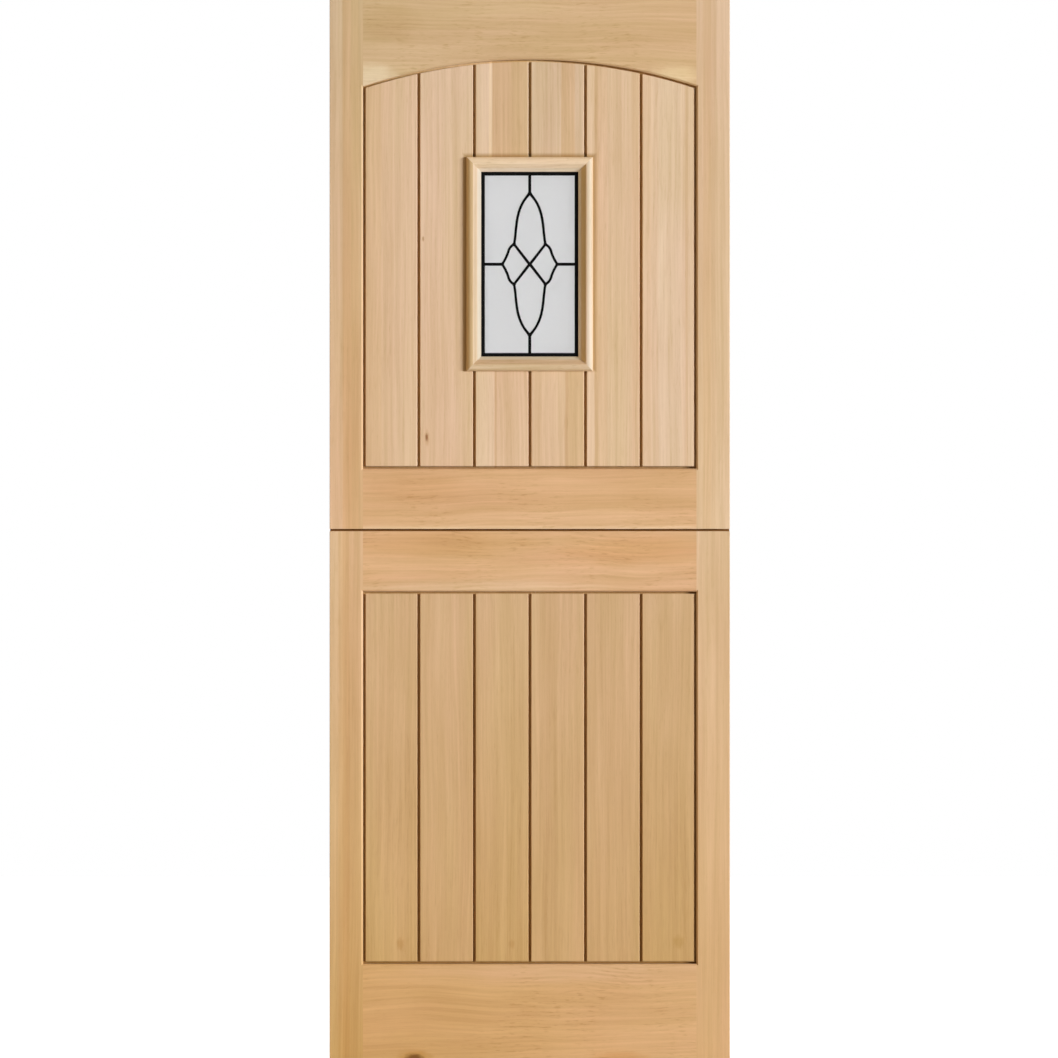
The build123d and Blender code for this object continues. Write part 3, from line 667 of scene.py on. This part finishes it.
def placed_group(tree, group, inputs):
    """The outputs of a shared group, placed in a material with its own values."""
    return place_node(tree, "ShaderNodeGroup", inputs, node_tree=group).outputs


def new_material(name):
    """An empty material with its Principled BSDF."""
    material = bpy.data.materials.new(name)
    material.use_nodes = True
    return material, material.node_tree, material.node_tree.nodes["Principled BSDF"]


def bumped(tree, surface, height, strength, depth):
    """Feeds a height to a surface's normal."""
    inputs = {"Height": height, "Strength": strength, "Distance": depth}
    tree.links.new(place_node(tree, "ShaderNodeBump", inputs).outputs[0], surface.inputs["Normal"])


def node_middle(node):
    """The middle of a node and half its size."""
    low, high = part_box(node)
    return (low + high) / 2, (high - low) / 2


def plank_place(tree, node, grain):
    """Object coordinates about the middle of a plank, with the grain along the third axis."""
    middle, _ = node_middle(node)
    if grain == UPRIGHT:
        turn = (0, 0, 0)
        shift = (-middle.x, -middle.y, -middle.z)
    else:
        turn = (0, -math.pi / 2, 0)
        shift = (middle.z, -middle.y, -middle.x)
    inputs = {"Vector": object_place(tree), "Location": shift, "Rotation": turn}
    return place_node(tree, "ShaderNodeMapping", inputs, vector_type="POINT").outputs[0]


def toned(tree, colour, mask, mark, node):
    """A plank's colour brought to a mark's own tone, with the grain still showing."""
    own = [linear(OAK_TONES[tone]) for tone in OAK_PLANKS[node][1:]]
    change = [2 * new / (first + second) for new, first, second in zip(linear(mark.colour), *own)]
    share = sums(tree, "MULTIPLY", mask, mark.share)
    return blended(tree, share, colour, (*change[:3], 1), "MULTIPLY")


def banded(tree, colour, place, node, grain):
    """A plank's colour with its bands laid over it."""
    middle, _ = node_middle(node)
    for band in OAK_BANDS.get(node, []):
        halfway = (band.start + band.end) / 2
        inputs = {
            "Place": place,
            "Middle": halfway - middle.x if grain == UPRIGHT else middle.z - halfway,
            "Half Width": (band.end - band.start) / 2,
            "Wave": band.wave,
        }
        mask = placed_group(tree, oak_band, inputs)["Mask"]
        colour = toned(tree, colour, mask, band, node)
    return colour


def painted_end_shade_spots(node):
    """Painted shade on a board's end tongues, where the gaps at its ends lie in shade, as spots that
    reach past its sides.
    """
    low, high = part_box(node)
    inset = PAINTED_END_SHADE_INSET_SHARE * PAINTED_END_SHADE_HEIGHT
    ends = []
    if "board" in node and "above" not in node:
        ends.append((low.z + inset, PAINTED_FOOT_SHADE_SHARE))
    if "lower_board" in node:
        ends.append((high.z - inset, PAINTED_HEAD_SHADE_SHARE))
    across = (low.x + high.x) / 2
    size = (PAINTED_END_SHADE_HALF_WIDTH, PAINTED_END_SHADE_HEIGHT)
    return [Spot(across, up, *size, PAINTED_END_SHADE_COLOUR, share) for up, share in ends]


def spotted(tree, colour, place, node, grain):
    """A plank's colour with its spots laid over it: knots and patches, a painted highlight, and painted
    shade at the boards' ends.
    """
    middle, _ = node_middle(node)
    for spot in OAK_SPOTS.get(node, []) + painted_end_shade_spots(node):
        right = spot.across - middle.x
        up = spot.up - middle.z
        shares = (1 / spot.half_width, 1 / spot.half_height)
        inputs = {
            "Place": place,
            "Middle": (right, 0, up) if grain == UPRIGHT else (-up, 0, right),
            "Shares": (shares[0], 0, shares[1]) if grain == UPRIGHT else (shares[1], 0, shares[0]),
        }
        mask = placed_group(tree, oak_spot, inputs)["Mask"]
        colour = toned(tree, colour, mask, spot, node)
    return colour


def with_painted_recess_shade(tree, colour, place, node):
    """A board's colour with painted shade in the grooves beside it."""
    _, half = node_middle(node)
    mask = placed_group(tree, painted_recess_shade, {"Place": place, "Half Depth": half.y})["Mask"]
    return blended(tree, mask, colour, PAINTED_RECESS_SHADE_TINT, "MULTIPLY")


def with_painted_rim_shade(tree, colour):
    """A board's colour with the painted shade of a darker rim round the raised moulding."""
    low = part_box("glazing_moulding_left")[0]
    low.z += PAINTED_RIM_SHADE_LIFT
    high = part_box("glazing_moulding_right")[1]
    inputs = {
        "Place": object_place(tree),
        "Middle": (low + high) / 2,
        "Half Size": (high - low) / 2,
    }
    return blended(tree, placed_group(tree, painted_rim_shade, inputs)["Mask"], colour, PAINTED_RIM_SHADE_TINT, "MULTIPLY")


def oak_material(node, seed):
    """A plank's own oak."""
    grain, start, end = OAK_PLANKS[node]
    material, tree, surface = new_material(f"oak_{node}")
    place = plank_place(tree, node, grain)
    _, half = node_middle(node)
    inputs = {
        "Place": place,
        "Seed": float(seed),
        "Half Length": half.z if grain == UPRIGHT else half.x,
        "Start Tone": linear(OAK_TONES[start]),
        "End Tone": linear(OAK_TONES[end]),
        "Figure": FIGURE_SHARES[grain],
        "Fleck": FLECK_SHARES[grain],
    }
    oak = placed_group(tree, oak_grain, inputs)
    colour = banded(tree, oak["Color"], place, node, grain)
    colour = spotted(tree, colour, place, node, grain)
    # Painted shade in the grooves beside the boards
    if "board" in node:
        colour = with_painted_recess_shade(tree, colour, place, node)
    # Painted shade round the raised moulding
    if node in PAINTED_RIM_SHADE_BOARDS:
        colour = with_painted_rim_shade(tree, colour)
    tree.links.new(colour, surface.inputs["Base Color"])
    tree.links.new(oak["Roughness"], surface.inputs["Roughness"])
    surface.inputs["Specular IOR Level"].default_value = OAK_SPECULAR
    bumped(tree, surface, oak["Height"], OAK_BUMP, BUMP_DEPTH)
    return material


def plain_finish(name):
    """A finish of two close colours, broken up by fine noise."""
    finish = PLAIN_FINISHES[name]
    material, tree, surface = new_material(name)
    cloud = noise(tree, object_place(tree), finish.noise, FINISH_NOISE_DETAIL, FINISH_NOISE_ROUGHNESS)
    first, second = finish.colours
    tree.links.new(blended(tree, cloud, linear(first), linear(second)), surface.inputs["Base Color"])
    rough = ramped(tree, cloud, *NOISE_RANGE, *finish.roughness)
    tree.links.new(rough, surface.inputs["Roughness"])
    surface.inputs["Metallic"].default_value = finish.metallic
    surface.inputs["Specular IOR Level"].default_value = finish.specular
    bumped(tree, surface, cloud, finish.bump, BUMP_DEPTH)
    return material


def glass_finish():
    """Satin glass that lets light through and hides what is behind."""
    material, tree, surface = new_material("satin_glass")
    frosting = noise(tree, object_place(tree), FROSTING)
    tree.links.new(blended(tree, frosting, *GLASS_TINTS), surface.inputs["Base Color"])
    rough = ramped(tree, frosting, *NOISE_RANGE, *GLASS_ROUGHNESS)
    tree.links.new(rough, surface.inputs["Roughness"])
    surface.inputs["Transmission Weight"].default_value = GLASS_TRANSMISSION
    surface.inputs["IOR"].default_value = GLASS_IOR
    bumped(tree, surface, frosting, GLASS_BUMP, GLASS_BUMP_DEPTH)
    return material


def dress(node, material):
    """Gives a CAD node its material."""
    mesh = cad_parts[node].data
    mesh.materials.clear()
    mesh.materials.append(material)


for number, plank in enumerate(OAK_PLANKS, start=1):
    dress(plank, oak_material(plank, number))

finishes = {name: plain_finish(name) for name in PLAIN_FINISHES}
finishes["obscure_glass"] = glass_finish()
for slot, nodes in SLOT_NODES.items():
    for fitting in nodes:
        dress(fitting, finishes[slot])


def edit_only(piece):
    """Opens one piece in edit mode, with all of it selected."""
    bpy.ops.object.select_all(action="DESELECT")
    piece.select_set(True)
    bpy.context.view_layer.objects.active = piece
    bpy.ops.object.mode_set(mode="EDIT")
    bpy.ops.mesh.select_mode(type="FACE")
    bpy.ops.mesh.select_all(action="SELECT")


def pick_faces(piece, wanted):
    """Selects the faces that pass a test, with the piece back in edit mode."""
    bpy.ops.mesh.select_all(action="DESELECT")
    bpy.ops.object.mode_set(mode="OBJECT")
    for face in piece.data.polygons:
        face.select = wanted(face)
    bpy.ops.object.mode_set(mode="EDIT")


def copied_node(name, node, merge):
    """A copy of a CAD node open in edit mode, with its triangles merged into whole faces."""
    piece = bpy.data.objects.new(name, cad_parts[node].data.copy())
    bpy.context.scene.collection.objects.link(piece)
    edit_only(piece)
    bpy.ops.mesh.remove_doubles(threshold=merge)
    bpy.ops.mesh.normals_make_consistent(inside=False)
    bpy.ops.mesh.dissolve_limited(angle_limit=FLAT_ANGLE)
    return piece


def end_edit():
    """Closes edit mode, with the piece shaded smooth except over its sharp edges."""
    bpy.ops.object.mode_set(mode="OBJECT")
    bpy.ops.object.shade_smooth_by_angle(angle=SMOOTH_ANGLE)


def came_sight():
    """The middle of the came, and half the width and height of what it leaves in sight."""
    middle, half = node_middle("lead_came")
    return middle, half.x - CAME_LAP, half.z - CAME_LAP


def fill_lancets(came):
    """Fills out the two lancets towards their tips, and draws them in above their feet."""
    middle, half_width, half_height = came_sight()
    bpy.ops.object.mode_set(mode="OBJECT")
    for point in came.data.vertices:
        across = point.co.x - middle.x
        up = abs(point.co.z - middle.z) / half_height
        along = (up - LANCET_FOOT_SHARE) / (LANCET_TIP_SHARE - LANCET_FOOT_SHARE)
        if 0 < along < 1 and abs(across) < BAR_END_SHARE * half_width:
            outward = across / max(abs(across), LANCET_EASE)
            bulge = along * (1 - along) * (along - LANCET_KEPT_SHARE)
            point.co.x += outward * LANCET_FULLNESS * bulge
    bpy.ops.object.mode_set(mode="EDIT")


def swell_bars(came, axis):
    """Widens, along an axis, the straight bars that run in from the border."""
    middle, _, _ = came_sight()
    swell = [1, 1, 1]
    swell[axis] = BAR_SWELL

    def bar_side(face):
        near = abs(face.center[axis] - middle[axis]) < BAR_REACH
        return near and abs(face.normal[axis]) > SQUARE_ON

    pick_faces(came, bar_side)
    bpy.ops.transform.resize(value=swell, center_override=middle)


def rounded_came():
    """The came's strips, with the front edges rounded as drawn lead is."""
    came = copied_node("rounded_came", "lead_came", CAME_MERGE)
    fill_lancets(came)
    for axis in (0, 2):
        swell_bars(came, axis)
    pick_faces(came, lambda face: face.normal.y < -SQUARE_ON)
    bpy.ops.mesh.region_to_loop()
    bpy.ops.mesh.bevel(
        offset=CAME_SHOULDER, segments=ROUND_SEGMENTS, affect="EDGES", clamp_overlap=False
    )
    end_edit()
    return came


def solder_joint(place):
    """A flattened dome of solder on the came's front, sunk a little into it."""
    bpy.ops.object.select_all(action="DESELECT")
    bpy.ops.mesh.primitive_uv_sphere_add(
        segments=SOLDER_SEGMENTS, ring_count=SOLDER_RINGS, radius=SOLDER_RADIUS, location=place
    )
    joint = bpy.context.object
    joint.scale.y = SOLDER_RISE / SOLDER_RADIUS
    bpy.ops.object.transform_apply(location=True, rotation=True, scale=True)
    edit_only(joint)
    across, front, up = place
    back = (across, front + SOLDER_SINK, up)
    bpy.ops.mesh.bisect(plane_co=back, plane_no=(0, 1, 0), use_fill=True, clear_outer=True)
    bpy.ops.mesh.select_all(action="SELECT")
    bpy.ops.mesh.normals_make_consistent(inside=False)
    end_edit()
    return joint


def solder_places():
    """Where the came's strips meet: its middle, the tips and feet of the lancets, and the bars' ends."""
    middle, half_width, half_height = came_sight()
    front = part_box("lead_came")[0].y
    shares = [(0, 0)]
    for way in (-1, 1):
        shares += [(0, way * LANCET_TIP_SHARE), (way * BAR_END_SHARE, 0)]
        shares += [(side * LANCET_SIDE_SHARE, way * LANCET_FOOT_SHARE) for side in (-1, 1)]
    return [(middle.x + x * half_width, front, middle.z + z * half_height) for x, z in shares]


def lead_net():
    """The came with its solder joints, as one piece in place of the plain came."""
    came = rounded_came()
    joints = [solder_joint(place) for place in solder_places()]
    bpy.ops.object.select_all(action="DESELECT")
    for piece in (came, *joints):
        piece.select_set(True)
    bpy.context.view_layer.objects.active = came
    bpy.ops.object.join()
    came.name = "lead_net"
    came.data.materials.clear()
    came.data.materials.append(finishes["black_lead"])
    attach(came, "upper_leaf")
    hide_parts("lead_came")


def meeting_lip():
    """The soft seal between the leaves, its rounded lip standing up to the upper leaf."""
    lip = copied_node("meeting_lip", "meeting_seal", SEAL_MERGE)
    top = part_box("meeting_seal")[1].z
    pick_faces(lip, lambda face: face.center.z > top - SEAL_MERGE)
    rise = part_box("upper_meeting_rail")[0].z - SEAL_MERGE - top
    bpy.ops.transform.translate(value=(0, 0, rise))
    bpy.ops.mesh.region_to_loop()
    bpy.ops.mesh.bevel(offset=SEAL_ROUND, segments=ROUND_SEGMENTS, affect="EDGES")
    end_edit()
    lip.data.materials.clear()
    lip.data.materials.append(finishes["seal_rubber"])
    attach(lip, "lower_leaf")
    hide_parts("meeting_seal")


def seen_directly(tree):
    """One for rays from the camera, a mirror or glass, and zero for the rest."""
    rays = place_node(tree, "ShaderNodeLightPath").outputs
    mirrored = sums(tree, "MAXIMUM", rays["Is Glossy Ray"], rays["Is Transmission Ray"])
    return sums(tree, "MAXIMUM", rays["Is Camera Ray"], mirrored)


def set_background():
    """White where it is seen, and a dim warm light from all round."""
    world = bpy.data.worlds.new("studio")
    bpy.context.scene.world = world
    world.use_nodes = True
    tree = world.node_tree
    background = tree.nodes["Background"]
    seen = seen_directly(tree)
    tree.links.new(blended(tree, seen, AMBIENT_COLOUR, WHITE), background.inputs["Color"])
    level = sums(tree, "MULTIPLY_ADD", seen, 1 - AMBIENT, AMBIENT)
    tree.links.new(level, background.inputs["Strength"])


def set_floor():
    """A pale floor that keeps the shadow."""
    bpy.ops.object.select_all(action="DESELECT")
    bpy.ops.mesh.primitive_plane_add(size=2 * FLOOR_HALF, location=(0, 0, -FLOOR_DROP))
    floor = bpy.context.object
    floor.name = "studio_floor"
    material, tree, surface = new_material("studio_floor")
    surface.inputs["Base Color"].default_value = FLOOR_COLOUR
    surface.inputs["Roughness"].default_value = FLOOR_ROUGHNESS
    surface.inputs["Emission Color"].default_value = FLOOR_GLOW_COLOUR
    glow = sums(tree, "MULTIPLY", seen_directly(tree), FLOOR_GLOW)
    tree.links.new(glow, surface.inputs["Emission Strength"])
    floor.data.materials.append(material)


def set_lamps():
    """The lamps, each turned to its bearing and height."""
    for name, lamp in LAMPS.items():
        data = bpy.data.lights.new(name, "SUN")
        data.energy = lamp.strength
        data.angle = math.radians(lamp.spread)
        data.color = lamp.colour
        light = bpy.data.objects.new(name, data)
        light.rotation_euler = (math.radians(90 - lamp.height), 0, math.radians(lamp.bearing))
        bpy.context.scene.collection.objects.link(light)


def set_camera():
    """A long lens square to the door, as the photograph was taken."""
    data = bpy.data.cameras.new("camera")
    data.lens = LENS
    data.sensor_width = SENSOR
    distance = PICTURE_HEIGHT * LENS / SENSOR
    camera = bpy.data.objects.new("camera", data)
    camera.location = (PICTURE_SIDE, LEAF_FACE - distance, PICTURE_MIDDLE)
    camera.rotation_euler = (math.pi / 2, 0, 0)
    bpy.context.scene.collection.objects.link(camera)
    bpy.context.scene.camera = camera
    bpy.context.scene.view_settings.view_transform = "Standard"


lead_net()
meeting_lip()
set_background()
set_floor()
set_lamps()
set_camera()
